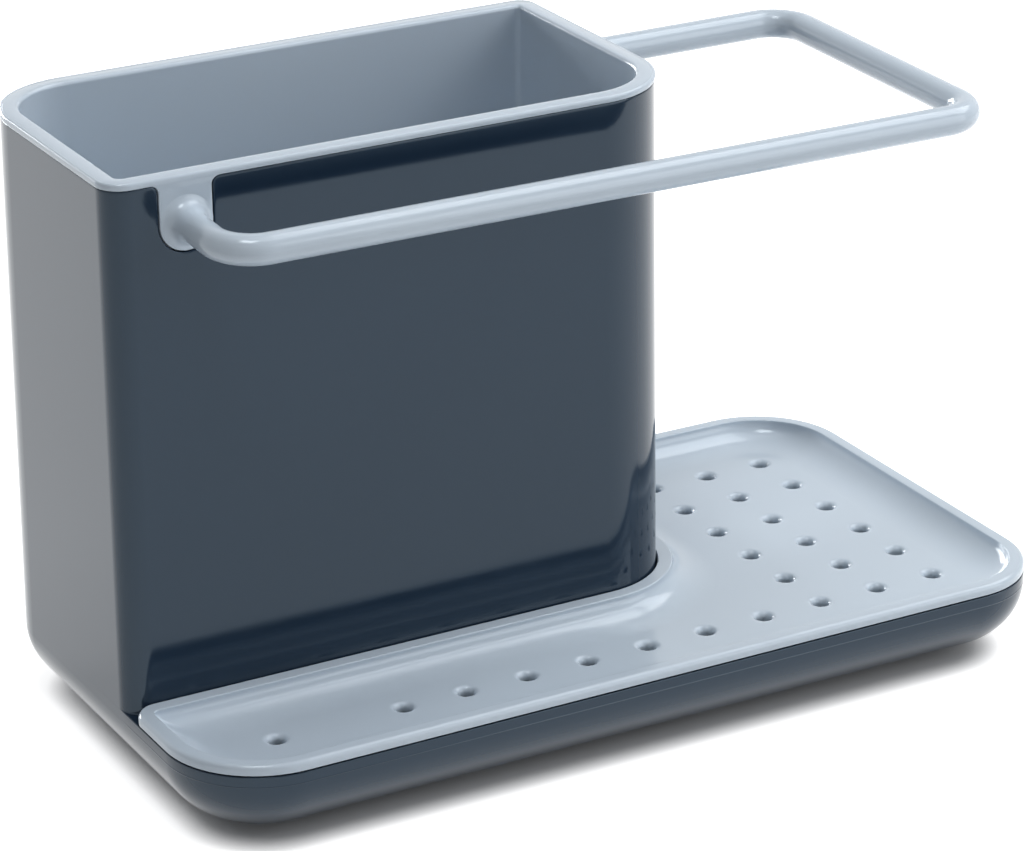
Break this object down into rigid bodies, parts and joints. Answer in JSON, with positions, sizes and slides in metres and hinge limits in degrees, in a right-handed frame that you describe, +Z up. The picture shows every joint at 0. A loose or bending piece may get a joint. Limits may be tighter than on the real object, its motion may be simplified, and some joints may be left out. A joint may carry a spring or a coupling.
{
  "type": "sink caddy",
  "caption": "Worktop sink caddy: a tall pot that lifts out with a looped towel rail, beside a low dish under a lift-off L-shaped drain tray.",
  "frame": {"origin": "on the surface the feet stand on, at the middle of the whole outline", "axes": "+X from the pot to the open end of the tray, -Y to the front, +Z up"},
  "size_m": [0.2056, 0.112, 0.135],
  "materials": {
    "dark_plastic": "smooth glossy moulded plastic, dark slate blue",
    "light_plastic": "smooth satin-gloss moulded plastic, pale blue grey",
    "foot_rubber": "matt non-slip rubber"
  },
  "bodies": {
    "base": {"outer_body": "dark_plastic", "foot_front_left": "foot_rubber", "foot_front_right": "foot_rubber", "foot_back_left": "foot_rubber", "foot_back_right": "foot_rubber"},
    "pot": {"liner": "light_plastic"},
    "tray": {"drain_tray": "light_plastic"}
  },
  "joints": [
    {"name": "liner_lift", "type": "slide", "parent": "base", "child": "pot", "axis": [0, 0, 1], "range_m": [0, 0.13]},
    {"name": "tray_lift", "type": "slide", "parent": "base", "child": "tray", "axis": [0, 0, 1], "range_m": [0, 0.07]}
  ]
}
